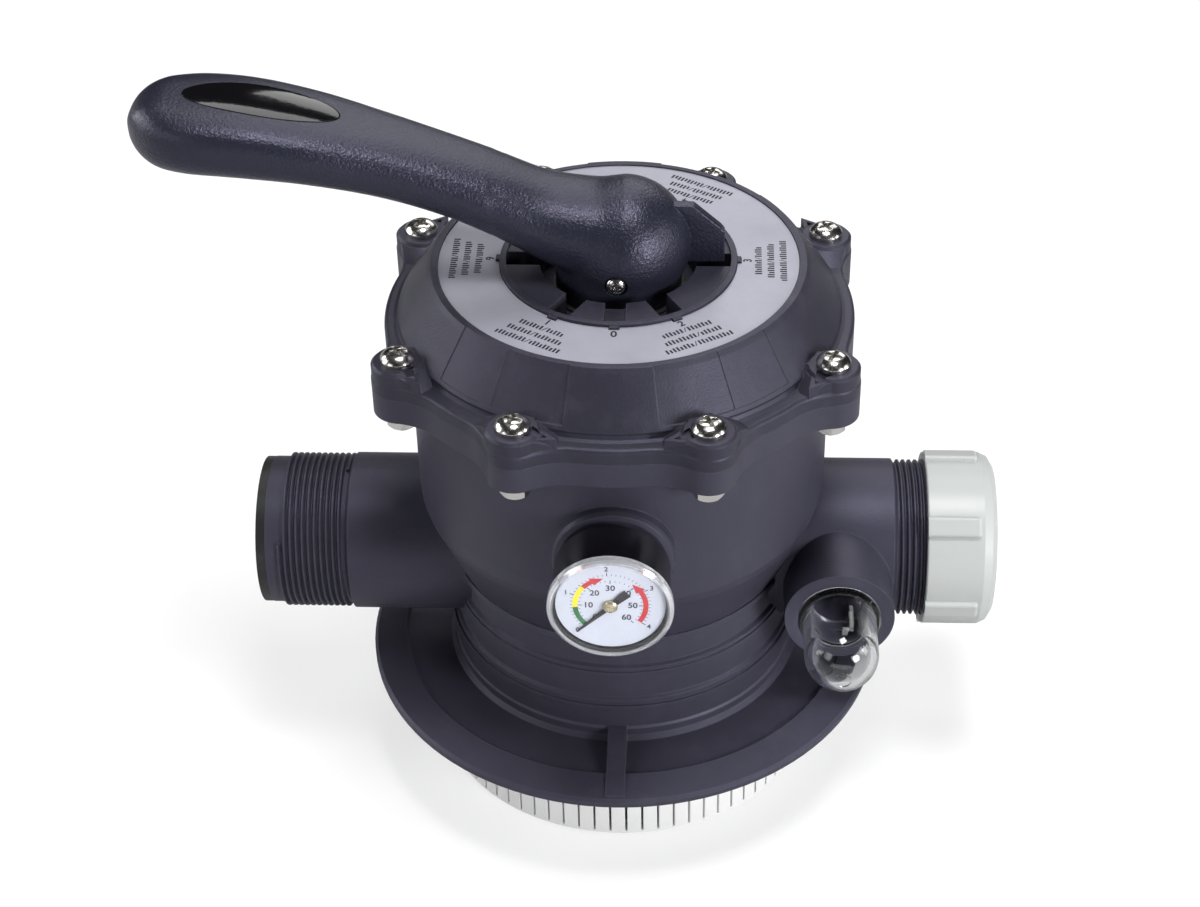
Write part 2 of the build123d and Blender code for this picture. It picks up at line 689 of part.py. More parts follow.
def gauge_stem():
    """Brass stem that screws into the body, with the block that feeds the pressure tube."""
    stem = rod(STEM_R - 0.02, 71.0, GAUGE_FACE)
    neck = rod(STEM_R - 1.1, GAUGE_FACE - 1, GAUGE_CASE_BACK + 2.2)
    block = bar(-5, 5, -6, 2.4, GAUGE_CASE_BACK + 2.05, GAUGE_CASE_BACK + 7)
    collar = rod(STEM_R + 2.4, GAUGE_FACE, GAUGE_CASE_BACK)
    feed = rod(1.2, 60, GAUGE_CASE_BACK + 5)
    return TO_GAUGE * union([stem, neck, block, collar]).cut(feed)


def gauge_tube():
    """Curved pressure tube: three quarters of a turn of flattened tube, from the block to its free tip."""
    path = CenterArc((0, 0, 0), 13.2, -80, 250)
    section = Plane(origin=path @ 0, z_dir=path % 0) * Ellipse(0.9, 2.0)
    curve = Pos(0, 0, GAUGE_CASE_BACK + 4.6) * sweep(section, path=path)
    foot = bar(-1.0, 4.4, -14.0, -6.0, GAUGE_CASE_BACK + 3.2, GAUGE_CASE_BACK + 6.0)
    return TO_GAUGE * curve.fuse(foot)


def movement_frame():
    """Plate that carries the pinion and the sector on the block."""
    level = GAUGE_CASE_BACK + MOVEMENT_LIFT
    plate = bar(-4.6, 4.6, -5.4, 16.4, level, level + 1.0)
    bosses = [rod(1.9, level, level + 1.6), Pos(0, SECTOR_PIVOT, 0) * rod(1.9, level, level + 1.6)]
    holes = [rod(0.7, level - 1, level + 3), Pos(0, SECTOR_PIVOT, 0) * rod(0.75, level - 1, level + 3)]
    return TO_GAUGE * union([plate] + bosses).cut(*holes)


def gauge_pinion():
    level = GAUGE_CASE_BACK + MOVEMENT_LIFT + 1.7
    shaft = rod(0.65, GAUGE_CASE_BACK + MOVEMENT_LIFT + 0.1, GAUGE_DIAL_Y + PINION_REACH)
    return TO_GAUGE * rod(PINION_R, level, level + 2.4).fuse(shaft)


def gauge_sector():
    """Toothless sector that rolls the pinion: an arm with a wide curved edge on a pivot."""
    level = GAUGE_CASE_BACK + MOVEMENT_LIFT + 2.0
    reach = SECTOR_PIVOT - PINION_R - 0.08
    fan = (tube(reach, reach - 2.4, level, level + 1.2)) & (
        Rot(0, 0, -105) * wedge(0, 19, 30, level - 1, level + 3)
    )
    arm = bar(-1.2, 1.2, -reach + 1.2, 0, level, level + 1.2)
    eye = rod(2.0, level, level + 1.2)
    pin = rod(0.7, GAUGE_CASE_BACK + MOVEMENT_LIFT + 0.1, level + 1.2)
    return TO_GAUGE * Pos(0, SECTOR_PIVOT, 0) * union([fan, arm, eye, pin])


def gauge_pointer():
    """Pointer at zero: long tapered tip to the lower left, short wide tail, domed brass hub."""
    level = GAUGE_DIAL_Y + POINTER_LIFT
    outline = Polyline(
        (-8.2, -1.6), (0, -1.0), (16.0, -0.22), (16.0, 0.22), (0, 1.0), (-8.2, 1.6), close=True
    )
    blade = Pos(0, 0, level) * extrude(make_face(outline), 0.4)
    hub = Pos(0, 0, level - 0.2) * lathe((0, 0), (1.9, 0), (1.9, 0.8), (1.5, 1.4), (0.8, 1.7), (0, 1.7))
    hole = rod(0.66, 0, GAUGE_DIAL_Y + PINION_REACH + 0.1)
    return TO_GAUGE * Rot(0, 0, 225) * blade.fuse(hub).cut(hole)


# ---- sight glass --------------------------------------------------------------------------
def sight_glass():
    """Clear dome with a rim and a plug skirt that screws into the boss."""
    seat = SIGHT_FACE + 0.4
    crown = SIGHT_FACE + SIGHT_LENGTH - SIGHT_R
    outer = rod(SIGHT_R, seat, crown).fuse(Pos(0, 0, crown) * Sphere(SIGHT_R))
    rim_top = seat + 2.4
    rim = lathe(
        (0, seat),
        (SIGHT_RIM_R, seat),
        (SIGHT_RIM_R, rim_top - 1.0),
        (SIGHT_RIM_R - 0.8, rim_top),
        (0, rim_top),
    )
    skirt = rod(SIGHT_BORE - 0.05, SIGHT_FACE - 9, seat + 1)
    nub = rod(2.9, crown, SIGHT_FACE + SIGHT_LENGTH + 0.7)
    inner_r = SIGHT_R - SIGHT_WALL - 0.8
    hollow = rod(inner_r, 0, crown).fuse(Pos(0, 0, crown) * Sphere(inner_r))
    return TO_SIGHT * union([outer, rim, skirt, nub]).cut(hollow)


def sight_seal():
    return TO_SIGHT * tube(SIGHT_RIM_R - 0.4, SIGHT_BORE + 0.1, SIGHT_FACE, SIGHT_FACE + 0.4)


# ---- drain cap ----------------------------------------------------------------------------
def drain_cap():
    """Screw cap with six grip ribs and a rounded outer edge."""
    shell = lathe(
        (0, CAP_START),
        (CAP_R - 0.4, CAP_START),
        (CAP_R, CAP_START + 0.5),
        (CAP_R, CAP_END - 5.0),
        (CAP_R - 1.4, CAP_END - 1.9),
        (CAP_R - 4.4, CAP_END),
        (0, CAP_END),
    )
    rib = bar(CAP_R - 2, CAP_RIB_R, -CAP_RIB_W / 2, CAP_RIB_W / 2, CAP_START, CAP_RIB_END)
    rib = fillet(rib.edges().filter_by(Axis.Z).sort_by(Axis.X)[-2:], 1.2)
    rib = fillet(rib.faces().sort_by(Axis.Z)[-1].edges().sort_by(Axis.X)[-1:], 1.2)
    ribs = around([CAP_RIB_TURN + 360 / CAP_RIBS * i for i in range(CAP_RIBS)], 0, rib)
    hollow = rod(CAP_BORE, CAP_START - 1, PORT_END)
    return TO_PLUS_X * union([shell] + ribs).cut(hollow)


# ---- strainer -----------------------------------------------------------------------------
def strainer_basket():
    """Slotted diffuser basket that snaps on the neck below the flange."""
    floor_top = STRAINER_BOTTOM + 3.0
    inner = STRAINER_R - STRAINER_WALL
    basket = lathe(
        (SOCKET_R + 0.9, STRAINER_BOTTOM),
        (STRAINER_R - 0.6, STRAINER_BOTTOM),
        (STRAINER_R, STRAINER_BOTTOM + 0.6),
        (STRAINER_R, STRAINER_SHOULDER + 1),
        (STRAINER_R - 1, STRAINER_SHOULDER + 2),
        (NECK_R + 3.0, STRAINER_SHOULDER + 2),
        (NECK_R + 3.0, -1.0),
        (NECK_R + 0.05, -1.0),
        (NECK_R + 0.05, STRAINER_SHOULDER),
        (inner, STRAINER_SHOULDER),
        (inner, floor_top),
        (SOCKET_R + 0.9, floor_top),
    )
    slot = bar(
        inner - 2, STRAINER_R + 1, -SLOT_GAP / 2, SLOT_GAP / 2, STRAINER_BOTTOM + 1.6, STRAINER_SHOULDER - 2
    )
    return basket.cut(*around([(i + 0.5) * 360 / STRAINER_SLOTS for i in range(STRAINER_SLOTS)], 0, slot))


# ---- write every node ---------------------------------------------------------------------
save("valve_body", valve_body())
save("top_cover", top_cover())
save("position_label", position_label())
save("cover_screws", around(SCREW_ANGLES, SCREW_PCR, cover_screw()))
save("cover_nuts", around(SCREW_ANGLES, SCREW_PCR, cover_nut()))
save("cover_o_ring", ring_seal(77.9, 2.9, PART_PLANE - 1.45))
save("tank_flange_o_ring", ring_seal(TANK_GROOVE_R, 3.2, 1.6))
save("riser_pipe_o_ring", ring_seal(SOCKET_R + 1.55, 2.9, -6.3))
save("spider_gasket", spider_gasket())
save("left_port_gasket", port_gasket(TO_MINUS_X))
save("rear_port_gasket", port_gasket(TO_PLUS_Y))
save("strainer_basket", strainer_basket())
save("gauge_case", gauge_case())
save("gauge_stem", gauge_stem())
save("gauge_bourdon_tube", gauge_tube())
save("gauge_movement_frame", movement_frame())
save("gauge_sector", gauge_sector())
save("gauge_pinion", gauge_pinion())
save("gauge_dial", gauge_dial())
save("gauge_pointer", gauge_pointer())
save("gauge_lens", gauge_lens())
save("sight_glass", sight_glass())
save("sight_glass_seal", sight_seal())
save("drain_cap", drain_cap())
save("drain_cap_gasket", port_gasket(TO_PLUS_X))
save("thrust_washer", tube(WASHER_R, SHAFT_R + 0.3, RECESS_FLOOR, RECESS_FLOOR + WASHER_T))
save("spring_washer", tube(SPRING_R + 3.4, SHAFT_R + 0.3, COVER_HUB_BOTTOM - WASHER_T, COVER_HUB_BOTTOM))
save("rotor_spring", rotor_spring())
save("rotor", rotor())
save("shaft_o_rings", shaft_seals())
save("handle", handle())
save("pivot_screw", pivot_screw())
save("handle_badge", badge_solid(0.05))
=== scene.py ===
import math

import bmesh
import bpy
from mathutils import Matrix, Vector


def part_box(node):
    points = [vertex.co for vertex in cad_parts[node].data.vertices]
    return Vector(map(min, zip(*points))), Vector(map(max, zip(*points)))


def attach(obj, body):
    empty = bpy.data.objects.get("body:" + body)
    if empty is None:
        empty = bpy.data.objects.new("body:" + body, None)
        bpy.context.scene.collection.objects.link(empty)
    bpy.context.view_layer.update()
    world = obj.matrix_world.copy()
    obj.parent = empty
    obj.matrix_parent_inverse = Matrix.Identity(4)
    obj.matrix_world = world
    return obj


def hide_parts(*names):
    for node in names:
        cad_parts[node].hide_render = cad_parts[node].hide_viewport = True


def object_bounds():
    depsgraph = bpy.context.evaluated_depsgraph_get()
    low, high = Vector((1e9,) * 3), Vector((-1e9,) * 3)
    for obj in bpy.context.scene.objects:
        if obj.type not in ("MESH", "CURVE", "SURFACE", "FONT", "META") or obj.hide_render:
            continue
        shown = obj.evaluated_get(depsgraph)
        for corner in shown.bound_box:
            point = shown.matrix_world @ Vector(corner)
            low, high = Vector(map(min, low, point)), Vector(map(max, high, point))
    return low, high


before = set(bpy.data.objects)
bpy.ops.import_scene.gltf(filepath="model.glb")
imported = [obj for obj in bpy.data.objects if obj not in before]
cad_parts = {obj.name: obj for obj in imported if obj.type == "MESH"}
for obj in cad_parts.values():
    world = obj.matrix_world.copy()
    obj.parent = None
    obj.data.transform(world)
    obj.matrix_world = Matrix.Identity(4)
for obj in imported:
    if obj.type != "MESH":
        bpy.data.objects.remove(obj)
cad_low, cad_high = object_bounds()

# Sizes are in millimetres until MM turns them into the frame's metres.
MM = 0.001

# ---- places taken from the frame -----------------------------------------------------------
DIAL_LOW, DIAL_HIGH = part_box("gauge_dial")
SCREW_LOW, SCREW_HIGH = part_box("pivot_screw")
LABEL_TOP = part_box("position_label")[1].z / MM
DIAL_FACE = DIAL_LOW.y / MM
DIAL_Z = (DIAL_LOW.z + DIAL_HIGH.z) / 2 / MM
PIVOT_Z = (SCREW_LOW.z + SCREW_HIGH.z) / 2 / MM
SIGHT_LOW, SIGHT_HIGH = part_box("sight_glass")
SIGHT_X = (SIGHT_LOW.x + SIGHT_HIGH.x) / 2 / MM
SIGHT_Z = (SIGHT_LOW.z + SIGHT_HIGH.z) / 2 / MM


# ---- node material helpers -----------------------------------------------------------------
class Nodes:
    """A material's node tree with short calls for the nodes used here."""

    def __init__(self, name):
        self.material = bpy.data.materials.new(name)
        self.material.use_nodes = True
        self.tree = self.material.node_tree
        self.tree.nodes.clear()
        self.output = self.add("ShaderNodeOutputMaterial")
        self.place = self.add("ShaderNodeTexCoord").outputs["Object"]

    def add(self, kind, **values):
        node = self.tree.nodes.new(kind)
        for key, value in values.items():
            setattr(node, key, value)
        return node

    def join(self, source, target):
        self.tree.links.new(source, target)

    def feed(self, node, **inputs):
        for key, value in inputs.items():
            socket = node.inputs[key.replace("_", " ")]
            if isinstance(value, bpy.types.NodeSocket):
                self.join(value, socket)
            else:
                socket.default_value = value
        return node

    def noise(self, size_mm, detail=3.0, roughness=0.55, stretch=(1, 1, 1)):
        """Noise whose features are about size_mm across."""
        mapping = self.feed(self.add("ShaderNodeMapping"), Vector=self.place, Scale=stretch)
        node = self.feed(self.add("ShaderNodeTexNoise"), Vector=mapping.outputs[0], Scale=1 / (size_mm * MM))
        return self.feed(node, Detail=detail, Roughness=roughness).outputs["Fac"]

    def cells(self, size_mm):
        """Cellular grain, as a spark-eroded mould leaves."""
        node = self.feed(self.add("ShaderNodeTexVoronoi"), Vector=self.place, Scale=1 / (size_mm * MM))
        return node.outputs["Distance"]

    def ramp(self, value, low, high, start=0.0, end=1.0):
        node = self.add("ShaderNodeMapRange")
        self.join(value, node.inputs["Value"])
        node.inputs["From Min"].default_value = low
        node.inputs["From Max"].default_value = high
        node.inputs["To Min"].default_value = start
        node.inputs["To Max"].default_value = end
        return node.outputs["Result"]

    def math(self, operation, a, b):
        node = self.add("ShaderNodeMath", operation=operation)
        for socket, value in zip(node.inputs, (a, b)):
            if isinstance(value, bpy.types.NodeSocket):
                self.join(value, socket)
            else:
                socket.default_value = value
        return node.outputs[0]

    def mix(self, factor, a, b):
        node = self.add("ShaderNodeMix", data_type="RGBA")
        for socket, value in zip((node.inputs[0], node.inputs[6], node.inputs[7]), (factor, a, b)):
            if isinstance(value, bpy.types.NodeSocket):
                self.join(value, socket)
            else:
                socket.default_value = value
        return node.outputs[2]

    def length(self, vector):
        node = self.add("ShaderNodeVectorMath", operation="LENGTH")
        self.join(vector, node.inputs[0])
        return node.outputs["Value"]

    def rounded(self, radius_mm):
        """Shading normal of slightly rounded edges."""
        return self.feed(self.add("ShaderNodeBevel", samples=4), Radius=radius_mm * MM).outputs[0]

    def edges(self, radius_mm):
        """Value near 1 along edges and 0 on open faces."""
        rounded = self.rounded(radius_mm)
        true = self.add("ShaderNodeNewGeometry").outputs["Normal"]
        dot = self.add("ShaderNodeVectorMath", operation="DOT_PRODUCT")
        self.join(rounded, dot.inputs[0])
        self.join(true, dot.inputs[1])
        return self.ramp(dot.outputs["Value"], 0.999, 0.93)

    def bump(self, height, depth_mm, normal=None, strength=1.0):
        node = self.add("ShaderNodeBump")
        self.feed(node, Height=height, Distance=depth_mm * MM, Strength=strength)
        if normal is not None:
            self.join(normal, node.inputs["Normal"])
        return node.outputs[0]

    def finish(self, **inputs):
        shader = self.feed(self.add("ShaderNodeBsdfPrincipled"), **inputs)
        self.join(shader.outputs[0], self.output.inputs["Surface"])
        return self.material


def rgb(red, green, blue):
    return (red, green, blue, 1.0)


# ---- materials -----------------------------------------------------------------------------
NEUTRAL = (1.0, 1.0, 1.0)
SLATE = (0.76, 0.74, 1.0)


def moulded(
    name, base, scuff_and_edge_colour, rough, grain_mm, grain_depth, edge_mm=0.5, scuffs=0.35, worn=0.35, sheen=NEUTRAL
):
    """Moulded plastic: fine grain, cloudy colour, pale scuffs, and lighter edges that are part rubbed wear
    and part a painted edge highlight.
    """
    n = Nodes(name)
    clouds = n.noise(26, detail=6, roughness=0.62)
    streaks = n.noise(7, detail=8, roughness=0.7, stretch=(1.0, 1.0, 0.35))
    scuff = n.math("MULTIPLY", n.ramp(clouds, 0.46, 0.72), n.ramp(streaks, 0.42, 0.68))
    colour = n.mix(n.math("MULTIPLY", scuff, scuffs), rgb(*base), rgb(*scuff_and_edge_colour))
    # painted edge highlight: along edges the colour moves toward the scuffed colour, part rubbed wear and
    # part painted highlight
    edge_wear_and_highlight = n.math("MULTIPLY", n.edges(edge_mm * 1.6), n.ramp(n.noise(3.5, detail=5), 0.35, 0.7, 0.25, 1.0))
    colour = n.mix(n.math("MULTIPLY", edge_wear_and_highlight, worn), colour, rgb(*scuff_and_edge_colour))
    roughness = n.math("ADD", rough - 0.05, n.math("MULTIPLY", clouds, 0.12))
    fine = n.noise(grain_mm, detail=2, roughness=0.6)
    grain = n.math("ADD", n.math("MULTIPLY", n.cells(grain_mm * 2.2), 0.7), fine)
    normal = n.bump(grain, grain_depth, n.rounded(edge_mm))
    return n.finish(
        Base_Color=colour,
        Roughness=roughness,
        Normal=normal,
        Specular_IOR_Level=0.5,
        Specular_Tint=rgb(*sheen),
    )


def silver_film():
    """Printed silver film: faint brushed sparkle and a soft sheen."""
    n = Nodes("label_silver_film")
    sparkle = n.noise(0.25, detail=2)
    haze = n.noise(30, detail=4)
    colour = n.mix(n.ramp(haze, 0.3, 0.7), rgb(0.29, 0.29, 0.345), rgb(0.35, 0.35, 0.41))
    colour = n.mix(n.ramp(sparkle, 0.5, 0.75, 0.0, 0.25), colour, rgb(0.55, 0.55, 0.61))
    roughness = n.ramp(sparkle, 0.3, 0.7, 0.34, 0.46)
    normal = n.bump(sparkle, 0.01)
    return n.finish(Base_Color=colour, Roughness=roughness, Metallic=0.25, Normal=normal)


def stainless(name, tint, rough):
    """Polished stainless steel with fine turning marks."""
    n = Nodes(name)
    marks = n.noise(0.5, detail=6, stretch=(1, 1, 5))
    smudge = n.noise(3, detail=4)
    dirt = n.ramp(smudge, 0.55, 0.8, 0.0, 0.4)
    colour = n.mix(dirt, rgb(*tint), rgb(*[c * 0.45 for c in tint]))
    turned = n.ramp(marks, 0.3, 0.7, rough - 0.04, rough + 0.1)
    roughness = n.math("ADD", turned, n.ramp(smudge, 0.5, 0.8, 0, 0.12))
    normal = n.bump(marks, 0.012, n.rounded(0.25))
    return n.finish(Base_Color=colour, Roughness=roughness, Metallic=1.0, Normal=normal)


def rubber():
    n = Nodes("black_rubber")
    skin = n.noise(0.4, detail=4)
    dust = n.ramp(n.noise(6, detail=6), 0.5, 0.8, 0.0, 0.3)
    colour = n.mix(dust, rgb(0.008, 0.008, 0.009), rgb(0.05, 0.05, 0.055))
    roughness = n.ramp(skin, 0.3, 0.7, 0.38, 0.55)
    return n.finish(Base_Color=colour, Roughness=roughness, Normal=n.bump(skin, 0.02, n.rounded(0.3)))


def gloss_black(name, rough, coat):
    """Black gloss plastic with faint hairlines and orange peel."""
    n = Nodes(name)
    hair = n.noise(0.3, detail=6, stretch=(6, 1, 1))
    orange_peel = n.noise(2.2, detail=2)
    roughness = n.ramp(hair, 0.4, 0.75, rough, rough + 0.12)
    normal = n.bump(orange_peel, 0.02, n.rounded(0.3))
    return n.finish(
        Base_Color=rgb(0.004, 0.004, 0.005),
        Roughness=roughness,
        Normal=normal,
        Specular_IOR_Level=0.35,
        Coat_Weight=coat,
        Coat_Roughness=0.05,
    )


def clear_plastic(name, tint, rough, painted_sheen, face_on, axis, start, full):
    """Clear moulded acrylic with slight flow lines, made brighter toward its rim where its wall is seen edge
    on by a painted pale sheen.

    The argument after rough is the share of painted pale sheen seen edge on, face_on its part seen face on,
    axis the (x, z) of the piece's own axis, and start and full the distances from it between which the
    painted sheen comes in.
    """
    n = Nodes(name)
    across = n.add("ShaderNodeVectorMath", operation="MULTIPLY_ADD")
    n.join(n.place, across.inputs[0])
    across.inputs[1].default_value = (1, 0, 1)
    across.inputs[2].default_value = (-axis[0] * MM, 0, -axis[1] * MM)
    away = n.ramp(n.length(across.outputs[0]), start * MM, full * MM)
    flow = n.noise(7, detail=3, stretch=(1, 0.4, 1))
    scratch = n.noise(0.35, detail=5, stretch=(5, 1, 1))
    roughness = n.ramp(scratch, 0.55, 0.8, rough, rough + 0.06)
    normal = n.bump(flow, 0.06)
    glass = n.feed(
        n.add("ShaderNodeBsdfPrincipled"),
        Base_Color=rgb(*tint),
        Roughness=roughness,
        Transmission_Weight=1.0,
        IOR=1.47,
        Normal=normal,
    )
    clear = n.feed(n.add("ShaderNodeBsdfTransparent"), Color=rgb(0.94, 0.94, 0.95))
    pale = n.feed(
        n.add("ShaderNodeBsdfPrincipled"),
        Base_Color=rgb(0.80, 0.81, 0.84),
        Roughness=0.12,
        Metallic=0.55,
        Normal=normal,
    )
    facing = n.feed(n.add("ShaderNodeLayerWeight"), Blend=0.35, Normal=normal).outputs["Facing"]
    # painted sheen: a pale, half-metal surface mixed in toward the rim and where the wall is seen edge on
    share = n.math("MULTIPLY", n.math("MULTIPLY", away, n.ramp(facing, 0.35, 0.85, face_on, 1.0)), painted_sheen)
    sheen = n.add("ShaderNodeMixShader")
    n.join(share, sheen.inputs[0])
    n.join(glass.outputs[0], sheen.inputs[1])
    n.join(pale.outputs[0], sheen.inputs[2])
    blend = n.add("ShaderNodeMixShader")
    n.join(n.add("ShaderNodeLightPath").outputs["Is Shadow Ray"], blend.inputs[0])
    n.join(sheen.outputs[0], blend.inputs[1])
    n.join(clear.outputs[0], blend.inputs[2])
    n.join(blend.outputs[0], n.output.inputs["Surface"])
    return n.material


def enamel():
    n = Nodes("dial_white_enamel")
    speck = n.noise(0.5, detail=3)
    colour = n.mix(n.ramp(speck, 0.4, 0.7), rgb(0.53, 0.55, 0.63), rgb(0.57, 0.59, 0.66))
    roughness = n.ramp(speck, 0.3, 0.7, 0.32, 0.42)
    return n.finish(Base_Color=colour, Roughness=roughness, Normal=n.bump(speck, 0.01))


def brass():
    n = Nodes("machined_brass")
    turning = n.noise(0.4, detail=5, stretch=(1, 6, 1))
    tarnish = n.ramp(n.noise(2.0, detail=5), 0.45, 0.75)
    colour = n.mix(tarnish, rgb(0.80, 0.70, 0.46), rgb(0.50, 0.41, 0.24))
    roughness = n.ramp(turning, 0.3, 0.7, 0.16, 0.34)
    normal = n.bump(turning, 0.02, n.rounded(0.2))
    return n.finish(Base_Color=colour, Roughness=roughness, Metallic=1.0, Normal=normal)


def ink(name, colour):
    """Screen-printed ink: slightly uneven, satin."""
    n = Nodes(name)
    pores = n.noise(0.18, detail=3)
    worn = n.ramp(pores, 0.62, 0.8, 0.0, 0.35)
    shade = n.mix(worn, rgb(*colour), rgb(*[0.6 * c + 0.12 for c in colour]))
    rough = n.ramp(pores, 0.3, 0.7, 0.5, 0.7)
    return n.finish(Base_Color=shade, Roughness=rough, Normal=n.bump(pores, 0.01), Specular_IOR_Level=0.25)


def studio_floor():
    """White paper sweep: seen almost white with faint shadows, and dim in the light it throws back."""
    n = Nodes("studio_floor")
    paper = n.noise(2, detail=4)
    seen = n.mix(paper, rgb(0.44, 0.44, 0.44), rgb(0.47, 0.47, 0.47))
    bounce = n.mix(paper, rgb(0.50, 0.50, 0.51), rgb(0.54, 0.54, 0.55))
    camera_ray = n.add("ShaderNodeLightPath").outputs["Is Camera Ray"]
    glow = n.ramp(n.length(n.place), 0.6, 2.0, 0.56, 0.97)
    return n.finish(
        Base_Color=n.mix(camera_ray, bounce, seen),
        Roughness=0.9,
        Specular_IOR_Level=0.0,
        Normal=n.bump(paper, 0.02),
        Emission_Color=rgb(1.0, 1.0, 1.0),
        Emission_Strength=n.math("MULTIPLY", camera_ray, glow),
    )


CHARCOAL = (0.0350, 0.0336, 0.0490)
CHARCOAL_PALE = (0.085, 0.082, 0.108)
COVER_CHARCOAL = (0.0210, 0.0205, 0.0300)
HANDLE_CHARCOAL = (0.0150, 0.0160, 0.0270)
HANDLE_PALE = (0.06, 0.062, 0.085)
BLACK = (0.02, 0.02, 0.022)
BLACK_PALE = (0.08, 0.08, 0.085)
OFF_WHITE = (0.47, 0.49, 0.48)
OFF_WHITE_WORN = (0.40, 0.40, 0.385)
WHITE = (0.90, 0.90, 0.90)
WHITE_WORN = (0.80, 0.79, 0.77)
MATERIALS = {
    "body": moulded("charcoal_body", CHARCOAL, CHARCOAL_PALE, 0.46, 0.35, 0.05, scuffs=0.30, sheen=SLATE),
    "cover": moulded(
        "charcoal_cover", COVER_CHARCOAL, CHARCOAL_PALE, 0.45, 0.35, 0.05, scuffs=0.45, sheen=SLATE
    ),
    "handle": moulded(
        "charcoal_handle", HANDLE_CHARCOAL, HANDLE_PALE, 0.29, 0.55, 0.16, scuffs=0.12, worn=0.12, sheen=SLATE
    ),
    "rotor": moulded("black_rotor", BLACK, BLACK_PALE, 0.4, 0.4, 0.03),
    "cap": moulded("cap_off_white", OFF_WHITE, OFF_WHITE_WORN, 0.36, 0.5, 0.02, 0.5, 0.15, 0.05),
    "strainer": moulded("strainer_white", WHITE, WHITE_WORN, 0.5, 0.4, 0.02, 0.2, 0.1, 0.05),
    "washer": moulded("dark_acetal", (0.03, 0.03, 0.032), BLACK_PALE, 0.35, 0.4, 0.02),
    "label": silver_film(),
    "steel": stainless("polished_stainless", (0.66, 0.64, 0.61), 0.16),
    "spring": stainless("spring_steel", (0.5, 0.5, 0.5), 0.25),
    "rubber": rubber(),
    "case": gloss_black("gauge_gloss_black", 0.10, 0.6),
    "badge": gloss_black("badge_gloss_black", 0.05, 0.08),
    "brass": brass(),
    "dial": enamel(),
    "pointer": ink("pointer_black", (0.018, 0.016, 0.02)),
    "print": ink("label_ink", (0.02, 0.02, 0.026)),
    "dial_print": ink("dial_ink", (0.03, 0.03, 0.05)),
    "green": ink("dial_green", (0.035, 0.16, 0.06)),
    "yellow": ink("dial_yellow", (0.80, 0.66, 0.03)),
    "red": ink("dial_red", (0.50, 0.035, 0.04)),
    "lens": clear_plastic(
        "lens_clear", (0.97, 0.98, 0.99), 0.01, 0.8, 0.5, (0.0, DIAL_Z), 19.4, 20.4
    ),
    "sight": clear_plastic(
        "sight_clear", (0.96, 0.97, 0.97), 0.0, 0.6, 0.0, (SIGHT_X, SIGHT_Z), 8.0, 12.5
    ),
}

NODE_FINISH = {
    "valve_body": "body",
    "top_cover": "cover",
    "position_label": "label",
    "cover_screws": "steel",
    "cover_nuts": "steel",
    "cover_o_ring": "rubber",
    "tank_flange_o_ring": "rubber",
    "riser_pipe_o_ring": "rubber",
    "spider_gasket": "rubber",
    "left_port_gasket": "rubber",
    "rear_port_gasket": "rubber",
    "strainer_basket": "strainer",
    "gauge_case": "case",
    "gauge_stem": "brass",
    "gauge_bourdon_tube": "brass",
    "gauge_movement_frame": "brass",
    "gauge_sector": "brass",
    "gauge_pinion": "brass",
    "gauge_dial": "dial",
    "gauge_pointer": "pointer",
    "gauge_lens": "lens",
    "sight_glass": "sight",
    "sight_glass_seal": "rubber",
    "drain_cap": "cap",
    "drain_cap_gasket": "rubber",
    "thrust_washer": "washer",
    "spring_washer": "steel",
    "rotor_spring": "spring",
    "rotor": "rotor",
    "shaft_o_rings": "rubber",
    "handle": "handle",
    "pivot_screw": "steel",
    "handle_badge": "badge",
}

for node_name, finish in NODE_FINISH.items():
    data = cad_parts[node_name].data
    data.materials.clear()
    data.materials.append(MATERIALS[finish])


# ---- mesh helpers --------------------------------------------------------------------------
def new_piece(name, body, finish, shape, crease=35):
    """A named object from a bmesh in millimetres that rides on a body."""
    bmesh.ops.recalc_face_normals(shape, faces=shape.faces)
    bmesh.ops.scale(shape, vec=(MM, MM, MM), verts=shape.verts)
    data = bpy.data.meshes.new(name)
    shape.to_mesh(data)
    shape.free()
    data.shade_smooth()
    data.set_sharp_from_angle(angle=math.radians(crease))
    data.materials.append(MATERIALS[finish])
    piece = bpy.data.objects.new(name, data)
    bpy.context.scene.collection.objects.link(piece)
    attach(piece, body)
    return piece


def prism(shape, outline, low, high, place=Matrix.Identity(4)):
    """Adds a closed plate with a flat outline, from a list of (u, v), between two heights."""
    bottom = [shape.verts.new(place @ Vector((u, v, low))) for u, v in outline]
    top = [shape.verts.new(place @ Vector((u, v, high))) for u, v in outline]
    shape.faces.new(list(reversed(bottom)))
    shape.faces.new(top)
    count = len(outline)
    for i in range(count):
        j = (i + 1) % count
        shape.faces.new((bottom[i], bottom[j], top[j], top[i]))


def lathe(shape, profile, place=Matrix.Identity(4), segments=96):
    """Adds a surface turned about Z from (radius, height) points, closed at the axis."""
    rings = []
    for r, z in profile:
        if r < 1e-6:
            rings.append([shape.verts.new(place @ Vector((0, 0, z)))])
            continue
        turn = [2 * math.pi * i / segments for i in range(segments)]
        rings.append([shape.verts.new(place @ Vector((r * math.cos(a), r * math.sin(a), z))) for a in turn])
    for a, b in zip(rings, rings[1:]):
        for i in range(segments):
            j = (i + 1) % segments
            corners = [a[i % len(a)], a[j % len(a)], b[j % len(b)], b[i % len(b)]]
            distinct = list(dict.fromkeys(corners))
            if len(distinct) > 2:
                shape.faces.new(distinct)


def arc(radius, start, end, steps):
    """Points on an arc, by angle in degrees."""
    turn = [math.radians(start + (end - start) * i / steps) for i in range(steps + 1)]
    return [(radius * math.cos(a), radius * math.sin(a)) for a in turn]


